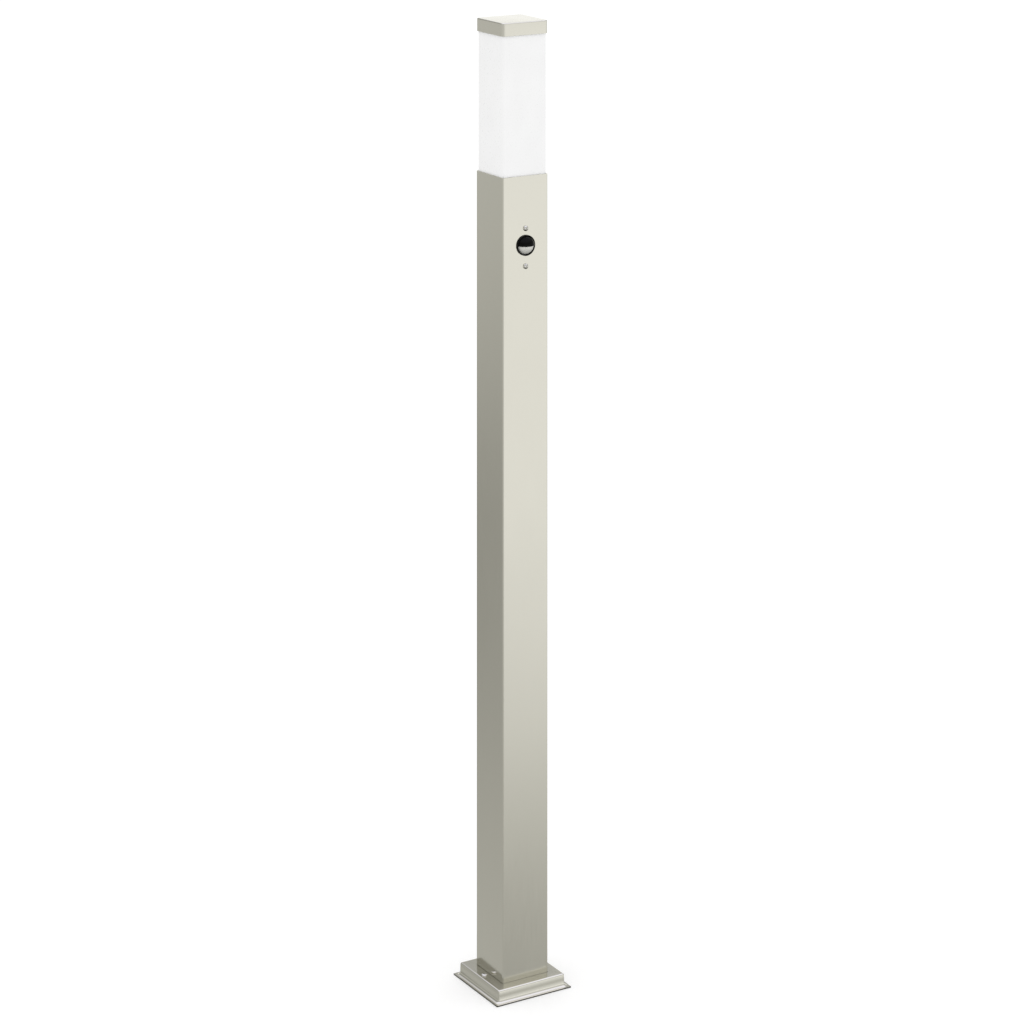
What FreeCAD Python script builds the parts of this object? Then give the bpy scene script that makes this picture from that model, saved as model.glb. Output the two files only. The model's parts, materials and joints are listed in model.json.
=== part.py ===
import FreeCAD, Part
import math
import os

# Square bollard light with a presence sensor. Millimetres, +Z up.
# The origin is the middle of the footprint at ground level. The sensor looks along -Y.

# Overall sizes
total_height = 1100.0
cap_height = 15.0
diffuser_shown = 160.0
post_width = 60.0
post_wall = 1.0
post_corner_r = 2.2

# General fits
slide_gap = 0.25        # between pieces that slide in and out by hand
turn_gap = 0.3          # round pieces of different bodies
snug_gap = 0.1          # pieces pushed together for good
bore_fit = 0.08         # radial, round a screw that is drawn out of its thread

# Base plate, which is bolted to the ground
plate_thickness = 3.0
plate_corner_r = 2.0
plate_gap = 0.8
anchor_edge = 6.0
anchor_hole_r = 3.25
plate_opening_r = 14.0

# Base cover, pressed from sheet
cover_height = 15.0
cover_ledge = 14.0
cover_sheet = 1.2
cover_corner_r = 2.5
cover_rim_r = 2.0
cover_cove_r = 3.5
cover_flange = 5.0
cover_opening_gap = 0.35
cover_screw_out = 6.4
cover_screw_end = 0.5

# Upright bracket inside the foot of the post
bracket_thickness = 3.0
bracket_width = 40.0
bracket_height = 65.0
bracket_gap = 0.2
post_screw_room = 0.5

# M4 and M3 pan-head screws
m4_r = 2.0
m4_hole_r = 2.3
m4_head_r = 3.5
m4_head_height = 2.5
m3_r = 1.45
m3_hole_r = 1.7
m3_head_r = 3.1
m3_head_height = 2.4
recess_half = 0.45      # half the width of the cross recess
recess_reach = 0.62     # length of its arms over the head radius
recess_depth = 0.6      # its depth over the head height
head_round = 0.45       # edge radius over the head height
rim_round = 0.6         # edge radius of the bezel over its thinner side

# Cable entry
cable_r = 5.0
grommet_lip = 2.0
grommet_lip_r = 13.5
grommet_neck_r = 11.0

# Terminal block
terminal_pitch = 10.0
terminal_poles = 3
terminal_end = 5.0
terminal_height = 22.0
terminal_depth = 16.0
terminal_bottom = 24.0
terminal_row = 6.0      # clamp screws above and below the middle
terminal_well_r = 2.4
terminal_well_depth = 5.0
terminal_screw_r = 2.1
terminal_screw_length = 3.0
terminal_entry_r = 1.6
terminal_entry_depth = 6.0

# Earth connection
earth_height = 40.0
earth_tag_thickness = 0.8
earth_tag_r = 4.2
earth_barrel_r = 1.9
earth_barrel_length = 8.0
earth_neck = 2.0
earth_crimp = 4.0
earth_wire_r = 1.2
earth_wire_low = 12.0
earth_wire_bends = (4.0, 6.0, 3.0)

# Leads that the post holds all the way
core_r = 1.2
core_spacing = 2.7
core_length = 34.0
core_straight = 10.0
supply_lead_r = 3.25
supply_lead_tail = 30.0     # straight above the cores
supply_lead_cross = 50.0    # height it takes to reach the rear wall
supply_lead_end = 43.0      # straight under the sensor
supply_lead_reach = 75.0    # height it takes to come forward again
lamp_lead_r = 2.5
lamp_lead_straight = 1.0
lamp_lead_back = 12.0
lamp_lead_drop = 5.0
clip_wall = 1.1
clip_width = 16.0
clip_height = 8.0
clip_count = 3

# Presence sensor, given from the post's outer face
sensor_drop = 80.9      # screws' middle below the post's top edge
lens_lift = 2.2         # the lens above the screws' middle
sensor_screw_spacing = 43.0
sensor_gasket = 1.0
sensor_width = 32.0
sensor_end = 5.0        # housing past each screw
sensor_front = 2.0
sensor_depth = 22.0
sensor_wall = 1.5
sensor_lid = 2.0
sensor_lid_lip = 1.5
snout_r = 10.9
snout_gap = 0.3
snout_wall = 2.6
bezel_r = 11.8
bezel_rise = 2.0
lens_r = 9.9
lens_rise = 8.3
lens_wall = 1.0
hood_gap = 0.2
hood_wall = 0.8
boss_r = 3.2
boss_length = 8.0
sensor_screw_end = 1.0
sensor_screw_turn = 35.0
board_setback = 8.4
board_thickness = 1.6
board_gap = 0.8
pir_r = 4.6
pir_flange_r = 5.2
pir_flange = 0.7
pir_height = 4.5
relay_size = (12.0, 15.0, 9.0)
relay_edge = 1.0

# Lamp tray and lamp holder
head_insert = 22.0      # depth of the diffuser inside the post
seal_thickness = 3.0
tray_thickness = 1.5
tray_flange = 12.0
tray_corner_r = 1.5
tray_hole_gap = 1.0
holder_r = 19.0
holder_height = 44.0
holder_floor = 14.0
groove_count = 3
groove_pitch = 5.0
groove_width = 2.0
groove_depth = 1.9
groove_top = 6.0
holder_screw_out = 10.5
holder_screw_length = 7.5
holder_screw_end = 0.5
holder_sleeve_wall = 0.6
holder_sleeve_drop = 3.0
contact_length = 14.0
contact_width = 8.0
contact_sheet = 0.6
contact_rise = 4.0

# Bulb with a screw cap
bulb_cap_r = 13.2
bulb_length = 78.0
bulb_globe_r = 22.5
bulb_globe_wall = 1.2
bulb_body_height = 20.0
bulb_stub = 6.0
bulb_collar = 2.0
bulb_lip = 1.5
bulb_neck_r = 14.0
bulb_cap_height = 22.0
bulb_cap_wall = 0.5
bulb_cap_bevel = 1.5
bulb_cap_floor = 1.0
bulb_glass_height = 4.3
bulb_tip_r = 4.6
bulb_tip_height = 1.5
bulb_tip_bevel = 0.6
bulb_board_r = 17.0
bulb_board = 1.6
bulb_tip_gap = 0.2

# Diffuser, its top plug and the cap
diffuser_wall = 3.0
diffuser_corner_r = 3.0
plug_top = 2.0
plug_depth = 12.0
plug_wall = 2.0
plug_gap = 0.15
plug_corner_r = 1.5
cap_over = 0.5          # cap past the post on each side
cap_sheet = 1.0
cap_corner_r = 5.0
cap_edge_r = 1.3
lock_screw_drop = 11.0
lock_screw_clear = 0.05

# Places that follow from the sizes
post_half = post_width / 2
inner_half = post_half - post_wall
post_top = total_height - cap_height - diffuser_shown
sensor_z = post_top - sensor_drop
cover_half = post_half + cover_ledge
flange_half = cover_half + cover_flange
plate_half = cover_half - cover_sheet - plate_gap
anchor_out = plate_half - anchor_edge
cover_screw_x = post_half + cover_screw_out
leg_outer = inner_half - bracket_gap
leg_inner = leg_outer - bracket_thickness
web_top = plate_thickness + bracket_thickness
post_screw_z = cover_height - cover_sheet - m4_head_r - post_screw_room
terminal_z = terminal_bottom + terminal_height / 2
terminal_face = leg_inner - terminal_depth
terminal_top = terminal_bottom + terminal_height
tray_top = post_top - head_insert - seal_thickness
diffuser_bottom = tray_top + seal_thickness
diffuser_half = inner_half - slide_gap
diffuser_inner = diffuser_half - diffuser_wall
cap_bottom = total_height - cap_height
cap_half = post_half + cap_over
cap_inner = cap_half - cap_sheet
plug_z = total_height - cap_sheet - plug_top
sleeve_inner_r = bulb_cap_r + turn_gap
sleeve_outer_r = sleeve_inner_r + holder_sleeve_wall
contact_top = tray_top + holder_floor + contact_rise
bulb_bottom = contact_top + bulb_tip_gap
bulb_glass_z = bulb_bottom + bulb_tip_height
bulb_cap_z = bulb_glass_z + bulb_glass_height
bulb_body_z = bulb_cap_z + bulb_cap_height
bulb_body_top = bulb_body_z + bulb_body_height
globe_z = bulb_bottom + bulb_length - bulb_globe_r
hood_base_r = lens_r + hood_gap + hood_wall
hood_rise = lens_rise + hood_gap + hood_wall
housing_half = sensor_screw_spacing / 2 + sensor_end
housing_front = -post_wall - sensor_gasket
housing_back = housing_front - sensor_depth
board_front = housing_front - sensor_front - board_setback
board_back = board_front - board_thickness
board_half_height = sensor_screw_spacing / 2 - boss_r - board_gap


def point(x, y, z):
    return FreeCAD.Vector(x, y, z)


def box(x_range, y_range, z_range):
    corner = point(x_range[0], y_range[0], z_range[0])
    sides = [pair[1] - pair[0] for pair in (x_range, y_range, z_range)]
    return Part.makeBox(sides[0], sides[1], sides[2], corner)


def cylinder(radius, bottom, top, x=0.0, y=0.0):
    return Part.makeCylinder(radius, top - bottom, point(x, y, bottom))


def cylinder_y(radius, start, end, x, z):
    """A cylinder along Y from start to end, whichever is the larger."""
    low, high = sorted((start, end))
    return Part.makeCylinder(radius, high - low, point(x, low, z), point(0, 1, 0))


def square_prism(half, corner_r, bottom, top):
    """A square column with rounded upright corners, centred on the Z axis."""
    flat = half - corner_r
    bend = corner_r * math.sqrt(0.5)
    edges = []
    for turn in range(4):
        start = point(half, -flat, bottom)
        end = point(half, flat, bottom)
        middle = point(flat + bend, flat + bend, bottom)
        corner_end = point(flat, half, bottom)
        side = [Part.LineSegment(start, end).toShape(), Part.Arc(end, middle, corner_end).toShape()]
        for edge in side:
            edge.rotate(point(0, 0, 0), point(0, 0, 1), 90 * turn)
            edges.append(edge)
    outline = Part.Wire(Part.__sortEdges__(edges))
    return Part.Face(outline).extrude(point(0, 0, top - bottom))


def square_tube(half, wall, corner_r, bottom, top):
    inside = square_prism(half - wall, max(corner_r - wall, 0.2), bottom, top)
    return square_prism(half, corner_r, bottom, top).cut(inside)


def turned(outline, z=0.0):
    """A solid of revolution about Z from (radius, height) corners."""
    corners = [point(radius, 0, z + height) for radius, height in outline]
    face = Part.Face(Part.makePolygon(corners + corners[:1]))
    return face.revolve(point(0, 0, 0), point(0, 0, 1), 360)


def cross_recess(radius, top, depth):
    arm = radius * recess_reach
    upright = (top - depth, top + 1)
    first = box((-arm, arm), (-recess_half, recess_half), upright)
    return first.fuse(box((-recess_half, recess_half), (-arm, arm), upright))


def pan_screw(shank_r, length, head_r, head_height):
    """A pan-head screw that points down: its head sits on z = 0."""
    head = cylinder(head_r, 0, head_height)
    rim = [edge for edge in head.Edges if edge.BoundBox.ZMin > head_height - 0.001]
    head = head.makeFillet(min(head_height, head_r) * head_round, rim)
    screw = head.fuse(cylinder(shank_r, -length, 0))
    return screw.cut(cross_recess(head_r, head_height, head_height * recess_depth))


def placed(shape, place, axis=(0, 0, 1), angle=0):
    moved = shape.copy()
    moved.rotate(point(0, 0, 0), point(*axis), angle)
    moved.translate(point(*place))
    return moved


def bent_tube(places, radius, bends):
    """A round tube along straight runs that are joined by tangent arcs of the given radii."""
    points = [point(*place) for place in places]
    edges = []
    start = points[0]
    for before, corner, after, bend in zip(points, points[1:], points[2:], bends):
        into = (corner - before).normalize()
        out = (after - corner).normalize()
        half_turn = into.getAngle(out) / 2
        reach = bend * math.tan(half_turn)
        arc_start = corner - into * reach
        arc_end = corner + out * reach
        inward = (out - into).normalize()
        middle = corner + inward * (bend / math.cos(half_turn) - bend)
        if (arc_start - start).Length > 0.001:
            edges.append(Part.LineSegment(start, arc_start).toShape())
        edges.append(Part.Arc(arc_start, middle, arc_end).toShape())
        start = arc_end
    edges.append(Part.LineSegment(start, points[-1]).toShape())
    path = Part.Wire(edges)
    direction = points[1] - points[0]
    ring = Part.Wire(Part.makeCircle(radius, points[0], direction))
    return path.makePipeShell([ring], True, True)


def wide_bends(places):
    """The largest arc that fits at each inner point of a route."""
    points = [point(*place) for place in places]
    bends = []
    for before, corner, after in zip(points, points[1:], points[2:]):
        run = min((corner - before).Length, (after - corner).Length)
        half_turn = (corner - before).getAngle(after - corner) / 2
        bends.append(0.45 * run / math.tan(half_turn))
    return bends


# Foot of the post


def base_plate():
    plate = square_prism(plate_half, plate_corner_r, 0, plate_thickness)
    for x in (-anchor_out, anchor_out):
        for y in (-anchor_out, anchor_out):
            plate = plate.cut(cylinder(anchor_hole_r, -1, plate_thickness + 1, x, y))
    for x in (-cover_screw_x, cover_screw_x):
        plate = plate.cut(cylinder(m4_r + bore_fit, -1, plate_thickness + 1, x))
    return plate.cut(cylinder(plate_opening_r, -1, plate_thickness + 1))


def post_bracket():
    """A U of thick strip: the web lies on the plate and the legs stand inside the post."""
    half = bracket_width / 2
    top = plate_thickness + bracket_height
    block = box((-half, half), (-leg_outer, leg_outer), (plate_thickness, top))
    bracket = block.cut(box((-half - 1, half + 1), (-leg_inner, leg_inner), (web_top, top + 1)))
    bracket = bracket.cut(cylinder(grommet_neck_r, plate_thickness - 1, web_top + 1))
    for side in (-1, 1):
        bracket = bracket.cut(cylinder_y(m4_r, side * leg_inner, side * leg_outer, 0, post_screw_z))
    bracket = bracket.cut(cylinder_y(m4_r, -leg_inner, -leg_outer, 0, earth_height))
    for x in terminal_fixing_places():
        bracket = bracket.cut(cylinder_y(m3_r, leg_inner, leg_outer, x, terminal_z))
    return bracket


def cable_grommet():
    bottom = plate_thickness - grommet_lip
    neck_r = grommet_neck_r - snug_gap
    outline = [
        (cable_r, bottom),
        (grommet_lip_r, bottom),
        (grommet_lip_r, plate_thickness),
        (neck_r, plate_thickness),
        (neck_r, web_top),
        (grommet_lip_r - 1.0, web_top),
        (grommet_lip_r - 2.5, web_top + grommet_lip),
        (cable_r, web_top + grommet_lip),
    ]
    return turned(outline)


def post_fixing_screws():
    length = post_half - leg_inner
    screw = pan_screw(m4_r, length, m4_head_r, m4_head_height)
    front = placed(screw, (0, -post_half, post_screw_z), (1, 0, 0), 90)
    back = placed(screw, (0, post_half, post_screw_z), (1, 0, 0), -90)
    return [front, back]


def base_cover():
    """A pressed cover: flat top, rounded rim, upright wall and a cove down to the flange."""
    centre = cover_half - cover_corner_r
    outside = moulding(0, centre, cover_height)
    flange = square_prism(flange_half, 0.4, 0, cover_sheet)
    cover = outside.fuse(flange).cut(moulding(cover_sheet, centre, cover_height - cover_sheet))
    opening_half = post_half + cover_opening_gap
    opening_r = post_corner_r + cover_opening_gap
    cover = cover.cut(square_prism(opening_half, opening_r, 0, cover_height + 1))
    for x in (-cover_screw_x, cover_screw_x):
        cover = cover.cut(cylinder(m4_hole_r, 0, cover_height + 1, x))
    return cover.removeSplitter()


def moulding(inset, centre, top):
    """The cover's outer volume at inset 0, or the space under its sheet."""
    straight = moulding_face(inset, 0)
    corner = moulding_face(inset, centre)
    whole = None
    for turn in range(4):
        side = straight.extrude(point(0, 2 * centre, 0))
        side.translate(point(0, -centre, 0))
        bend = corner.revolve(point(0, 0, 0), point(0, 0, 1), 360)
        bend.translate(point(centre, centre, 0))
        for piece in (side, bend):
            piece.rotate(point(0, 0, 0), point(0, 0, 1), 90 * turn)
            whole = piece if whole is None else whole.fuse(piece)
    return whole.fuse(box((-centre, centre), (-centre, centre), (0, top)))


def moulding_face(inset, shift):
    """Half the cover's section, from an upright line at x = shift out to its skin."""
    wall = cover_half - inset - shift
    rim_x = cover_half - cover_rim_r - shift
    cove_x = cover_half + cover_cove_r - shift
    cove_z = cover_sheet + cover_cove_r
    cove_r = cover_cove_r + inset
    rim_r = cover_rim_r - inset
    rim_z = cover_height - cover_rim_r
    slant = math.sqrt(0.5)
    foot = point(cove_x, 0, cove_z - cove_r)
    cove_middle = point(cove_x - cove_r * slant, 0, cove_z - cove_r * slant)
    wall_low = point(wall, 0, cove_z)
    wall_high = point(wall, 0, rim_z)
    rim_middle = point(rim_x + rim_r * slant, 0, rim_z + rim_r * slant)
    rim_end = point(rim_x, 0, rim_z + rim_r)
    axis_top = point(0, 0, rim_z + rim_r)
    axis_low = point(0, 0, -inset)
    foot_low = point(cove_x, 0, -inset)
    edges = [
        Part.LineSegment(axis_low, foot_low).toShape(),
        Part.LineSegment(foot_low, foot).toShape(),
        Part.Arc(foot, cove_middle, wall_low).toShape(),
        Part.LineSegment(wall_low, wall_high).toShape(),
        Part.Arc(wall_high, rim_middle, rim_end).toShape(),
        Part.LineSegment(rim_end, axis_top).toShape(),
        Part.LineSegment(axis_top, axis_low).toShape(),
    ]
    return Part.Face(Part.Wire(edges))


def cover_screws():
    length = cover_height - cover_screw_end
    screw = pan_screw(m4_r, length, m4_head_r, m4_head_height)
    return [placed(screw, (x, 0, cover_height), angle=90) for x in (-cover_screw_x, cover_screw_x)]


# Post


def post_tube():
    post = square_tube(post_half, post_wall, post_corner_r, plate_thickness, post_top)
    outer, inner = post_half + 1, inner_half - 1
    post = post.cut(cylinder_y(snout_r + snout_gap, -outer, -inner, 0, sensor_z + lens_lift))
    for rise in (-sensor_screw_spacing / 2, sensor_screw_spacing / 2):
        post = post.cut(cylinder_y(m3_hole_r, -outer, -inner, 0, sensor_z + rise))
    for side in (-1, 1):
        post = post.cut(cylinder_y(m4_hole_r, side * outer, side * inner, 0, post_screw_z))
    return post.cut(cylinder_y(m4_r, outer, inner, 0, post_top - lock_screw_drop))


def lock_screw():
    """Bears on the diffuser's skirt when it is tightened."""
    screw = pan_screw(m4_r, post_wall - lock_screw_clear, m4_head_r, m4_head_height)
    return placed(screw, (0, post_half, post_top - lock_screw_drop), (1, 0, 0), -90)


# Wiring


def terminal_fixing_places():
    return (-terminal_pitch / 2, terminal_pitch / 2)


def terminal_columns():
    middle = (terminal_poles - 1) / 2
    return [(pole - middle) * terminal_pitch for pole in range(terminal_poles)]


def terminal_block():
    half = (terminal_poles - 1) * terminal_pitch / 2 + terminal_end
    block = box((-half, half), (terminal_face, leg_inner), (terminal_bottom, terminal_top))
    for x in terminal_columns():
        for z in (terminal_z - terminal_row, terminal_z + terminal_row):
            well_end = terminal_face + terminal_well_depth
            block = block.cut(cylinder_y(terminal_well_r, terminal_face - 1, well_end, x, z))
    middle = entry_y()
    for x in terminal_columns():
        bottom_end = terminal_bottom + terminal_entry_depth
        block = block.cut(cylinder(terminal_entry_r, terminal_bottom - 1, bottom_end, x, middle))
    for x in terminal_fixing_places():
        block = block.cut(cylinder_y(m3_r, terminal_face - 1, leg_inner + 1, x, terminal_z))
    return block


def entry_y():
    return terminal_face + terminal_depth * 0.6


def terminal_screws():
    end = terminal_face + terminal_well_depth
    screws = []
    for x in terminal_columns():
        for z in (terminal_z - terminal_row, terminal_z + terminal_row):
            screw = cylinder_y(terminal_screw_r, end - terminal_screw_length, end, x, z)
            slot_x = (x - terminal_screw_r, x + terminal_screw_r)
            slot_y = (end - terminal_screw_length - 1, end - terminal_screw_length + 1)
            screws.append(screw.cut(box(slot_x, slot_y, (z - 0.4, z + 0.4))))
    return screws


def terminal_fixings():
    length = terminal_depth + bracket_thickness
    screw = pan_screw(m3_r, length, m3_head_r * 0.8, m3_head_height * 0.8)
    places = [(x, terminal_face, terminal_z) for x in terminal_fixing_places()]
    return [placed(screw, place, (1, 0, 0), 90) for place in places]


def earth_tag():
    """A ring tag flat on the bracket's front leg, with a crimped barrel below it."""
    face = -leg_inner
    ring = cylinder_y(earth_tag_r, face, face + earth_tag_thickness, 0, earth_height)
    low = earth_height - earth_tag_r - earth_neck
    neck_y = (face, face + earth_tag_thickness)
    neck_x = (-earth_barrel_r, earth_barrel_r)
    ring = ring.fuse(box(neck_x, neck_y, (low - earth_neck, earth_height - m4_r)))
    ring = ring.cut(cylinder_y(m4_r + snug_gap, face - 1, face + 2, 0, earth_height))
    bottom = low - earth_barrel_length
    barrel = cylinder(earth_barrel_r, bottom, low, 0, face + earth_barrel_r)
    core = cylinder(earth_wire_r, bottom - 1, bottom + earth_crimp, 0, face + earth_barrel_r)
    return ring.fuse(barrel).cut(core)


def earth_screw():
    length = earth_tag_thickness + bracket_thickness
    screw = pan_screw(m4_r, length, m4_head_r, m4_head_height)
    return placed(screw, (0, earth_tag_thickness - leg_inner, earth_height), (1, 0, 0), -90)


def earth_wire():
    """From the earth pole down, round the cable entry and up into the tag's barrel."""
    pole = terminal_columns()[-1]
    tag_y = earth_barrel_r - leg_inner
    tag_bottom = earth_height - earth_tag_r - earth_neck - earth_barrel_length
    turn_y = tag_y + pole
    places = [
        (pole, entry_y(), terminal_bottom + terminal_entry_depth),
        (pole, entry_y(), earth_wire_low),
        (pole, turn_y, earth_wire_low),
        (0, tag_y, earth_wire_low),
        (0, tag_y, tag_bottom + earth_crimp),
    ]
    return bent_tube(places, earth_wire_r, earth_wire_bends)


def supply_route():
    """The supply lead's line: up from the terminals, along the rear wall, over to the sensor."""
    rear = inner_half - clip_wall - supply_lead_r
    front = -post_half - housing_front + sensor_depth / 2
    start = terminal_top + core_length
    end = sensor_z - housing_half
    tail = start + supply_lead_tail
    turn = end - supply_lead_end
    return [
        (0, entry_y(), start),
        (0, entry_y(), tail),
        (0, rear, tail + supply_lead_cross),
        (0, rear, turn - supply_lead_reach),
        (0, front, turn),
        (0, front, end),
    ]


def supply_lead():
    route = supply_route()
    return bent_tube(route, supply_lead_r, wide_bends(route))


def supply_cores():
    """The middle core drops straight into the block and the outer two spread to their poles."""
    top = terminal_top + core_length
    back_y = entry_y() + core_spacing / math.sqrt(3)
    side_y = entry_y() - core_spacing / math.sqrt(12)
    cores = [cylinder(core_r, terminal_top, top, 0, back_y)]
    for side in (-1, 1):
        near = side * core_spacing / 2
        pole = side * terminal_pitch
        places = [
            (near, side_y, top),
            (near, side_y, top - core_straight),
            (pole, side_y, terminal_top + core_straight),
            (pole, side_y, terminal_top),
        ]
        cores.append(bent_tube(places, core_r, wide_bends(places)))
    return cores


def lead_clips():
    """Saddles that hold the supply lead to the rear wall."""
    route = supply_route()
    rear, low, high = route[2][1], route[2][2], route[3][2]
    clips = []
    for number in range(clip_count):
        z = low + (high - low) * (number + 0.5) / clip_count
        bottom, top = z - clip_height / 2, z + clip_height / 2
        ring_r = supply_lead_r + snug_gap
        pad_y = (inner_half - clip_wall + snug_gap, inner_half)
        pad = box((-clip_width / 2, clip_width / 2), pad_y, (bottom, top))
        strap = cylinder(ring_r + clip_wall, bottom, top, 0, rear)
        strap = strap.common(box((-clip_width, clip_width), (-post_half, inner_half), (bottom, top)))
        clips.append(strap.fuse(pad).cut(cylinder(ring_r, bottom - 1, top + 1, 0, rear)))
    return clips


def lamp_lead():
    """Out of the sensor's back, round one bend and up into the lamp holder."""
    back = -post_half - housing_back + sensor_lid
    z = sensor_z - lamp_lead_drop
    places = [(0, back, z), (0, lamp_lead_back, z), (0, lamp_lead_back, tray_top)]
    return bent_tube(places, lamp_lead_r, [lamp_lead_back - back - lamp_lead_straight])


# Sensor. Each piece is drawn with z outwards from the post's face and y up, then turned.


def on_face(shape, lift=0.0):
    return placed(shape, (0, -post_half, sensor_z + lift), (1, 0, 0), 90)


def dome(base_r, rise):
    """A solid spherical cap that stands on z = 0."""
    radius = (base_r**2 + rise**2) / (2 * rise)
    ball = Part.makeSphere(radius, point(0, 0, rise - radius))
    return ball.common(cylinder(base_r + 1, 0, rise + 1))


def dome_shell(base_r, rise, wall):
    return dome(base_r, rise).cut(dome(base_r - wall, rise - wall))


def screw_rises():
    return (-sensor_screw_spacing / 2, sensor_screw_spacing / 2)


def sensor_gasket_piece():
    half = sensor_width / 2
    sheet_z = (housing_front, -post_wall)
    sheet = box((-half, half), (-housing_half, housing_half), sheet_z)
    sheet = sheet.cut(cylinder(snout_r + snout_gap, housing_front - 1, 0, 0, lens_lift))
    for y in screw_rises():
        sheet = sheet.cut(cylinder(m3_hole_r, housing_front - 1, 0, 0, y))
    return on_face(sheet)


def sensor_housing():
    half = sensor_width / 2
    inside = half - sensor_wall
    inside_high = housing_half - sensor_wall
    floor = housing_front - sensor_front
    shell = box((-half, half), (-housing_half, housing_half), (housing_back, housing_front))
    hollow_z = (housing_back - 1, floor)
    shell = shell.cut(box((-inside, inside), (-inside_high, inside_high), hollow_z))
    shell = shell.fuse(cylinder(snout_r, floor, 0, 0, lens_lift))
    shell = shell.cut(cylinder(snout_r - snout_wall, floor - 1, 1, 0, lens_lift))
    for y in screw_rises():
        shell = shell.fuse(cylinder(boss_r, floor - boss_length, floor, 0, y))
        shell = shell.cut(cylinder(m3_r, floor - boss_length, 1, 0, y))
    return on_face(shell)


def sensor_back_cover():
    half = sensor_width / 2
    lid = box((-half, half), (-housing_half, housing_half), (housing_back - sensor_lid, housing_back))
    lip_x = half - sensor_wall - snug_gap
    lip_y = housing_half - sensor_wall - snug_gap
    lip_top = housing_back + sensor_lid_lip
    lip = box((-lip_x, lip_x), (-lip_y, lip_y), (housing_back, lip_top))
    in_x, in_y = lip_x - sensor_wall, lip_y - sensor_wall
    hollow = box((-in_x, in_x), (-in_y, in_y), (housing_back, lip_top + 1))
    return on_face(lid.fuse(lip.cut(hollow)))


def sensor_bezel():
    inner_r = hood_base_r + snug_gap
    ring = cylinder(bezel_r, 0, bezel_rise).cut(cylinder(inner_r, -1, bezel_rise + 1))
    rims = [edge for edge in ring.Edges if edge.Closed and edge.BoundBox.ZMin > bezel_rise - 0.001]
    outer = [edge for edge in rims if edge.BoundBox.XLength > 2 * inner_r + 0.1]
    rounded = ring.makeFillet(min(bezel_rise, bezel_r - inner_r) * rim_round, outer)
    return on_face(rounded, lens_lift)


def sensor_lens():
    return on_face(dome_shell(lens_r, lens_rise, lens_wall), lens_lift)


def sensor_hood():
    """The upper half of a shell round the lens."""
    shell = dome_shell(hood_base_r, hood_rise, hood_wall)
    keep = box((-bezel_r, bezel_r), (0, bezel_r), (0, hood_rise + 1))
    return on_face(shell.common(keep), lens_lift)


def sensor_board():
    half = sensor_width / 2 - sensor_wall
    height = (-board_half_height, board_half_height)
    return on_face(box((-half, half), height, (board_back, board_front)))


def pir_element():
    outline = [
        (0, 0),
        (pir_flange_r, 0),
        (pir_flange_r, pir_flange),
        (pir_r, pir_flange),
        (pir_r, pir_height),
        (0, pir_height),
    ]
    return on_face(turned(outline, board_front), lens_lift)


def sensor_relay():
    width, height, depth = relay_size
    low = -board_half_height + relay_edge
    return on_face(box((-width / 2, width / 2), (low, low + height), (board_back - depth, board_back)))


def sensor_screws():
    length = sensor_front + boss_length - housing_front - sensor_screw_end
    screw = pan_screw(m3_r, length, m3_head_r, m3_head_height)
    return [on_face(placed(screw, (0, y, 0), angle=sensor_screw_turn)) for y in screw_rises()]


# Lamp holder


def holder_tray():
    bottom = tray_top - tray_thickness - tray_flange
    tray = square_prism(inner_half, tray_corner_r, bottom, tray_top)
    hollow_half = inner_half - tray_thickness
    tray = tray.cut(square_prism(hollow_half, 0.5, bottom - 1, tray_top - tray_thickness))
    under, over = tray_top - tray_thickness - 1, tray_top + 1
    tray = tray.cut(cylinder(lamp_lead_r + tray_hole_gap, under, over, 0, lamp_lead_back))
    for x in (-holder_screw_out, holder_screw_out):
        tray = tray.cut(cylinder(m3_hole_r, under, over, x))
    return tray


def head_seal():
    outer = diffuser_half - slide_gap
    return square_tube(outer, diffuser_wall + 1, diffuser_corner_r, tray_top, diffuser_bottom)


def lamp_holder():
    top = tray_top + holder_height
    floor = tray_top + holder_floor
    bore_r = sleeve_outer_r + snug_gap
    body = cylinder(holder_r, tray_top, top)
    body = body.cut(cylinder(bore_r, floor, top + 1))
    for number in range(groove_count):
        low = top - groove_top - groove_pitch * number
        high = low + groove_width
        ring = cylinder(holder_r + 1, low, high).cut(cylinder(holder_r - groove_depth, low, high))
        body = body.cut(ring)
    for x in (-holder_screw_out, holder_screw_out):
        body = body.cut(cylinder(m3_r, tray_top - 1, tray_top + holder_screw_length, x))
    return body


def holder_sleeve():
    floor = tray_top + holder_floor
    top = tray_top + holder_height - holder_sleeve_drop
    return cylinder(sleeve_outer_r, floor, top).cut(cylinder(sleeve_inner_r, floor - 1, top + 1))


def holder_contact():
    """A bent spring tongue under the bulb's tip."""
    floor = tray_top + holder_floor
    half_length, half_width = contact_length / 2, contact_width / 2
    width = (-half_width, half_width)
    foot = box((-half_length, half_length), width, (floor, floor + contact_sheet))
    riser_x = (half_length - contact_sheet, half_length)
    riser = box(riser_x, width, (floor, contact_top))
    tongue = box((-half_length * 0.6, half_length), width, (contact_top - contact_sheet, contact_top))
    return foot.fuse(riser).fuse(tongue)


def holder_screws():
    length = tray_thickness + holder_screw_length - holder_screw_end
    screw = pan_screw(m3_r, length, m3_head_r, m3_head_height)
    z = tray_top - tray_thickness
    return [placed(screw, (x, 0, z), (1, 0, 0), 180) for x in (-holder_screw_out, holder_screw_out)]


# Bulb


def bulb_contact():
    outline = [
        (0, 0),
        (bulb_tip_r - 2 * bulb_tip_bevel, 0),
        (bulb_tip_r, bulb_tip_bevel),
        (bulb_tip_r, bulb_tip_height),
        (0, bulb_tip_height),
    ]
    return turned(outline, bulb_bottom)


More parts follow.
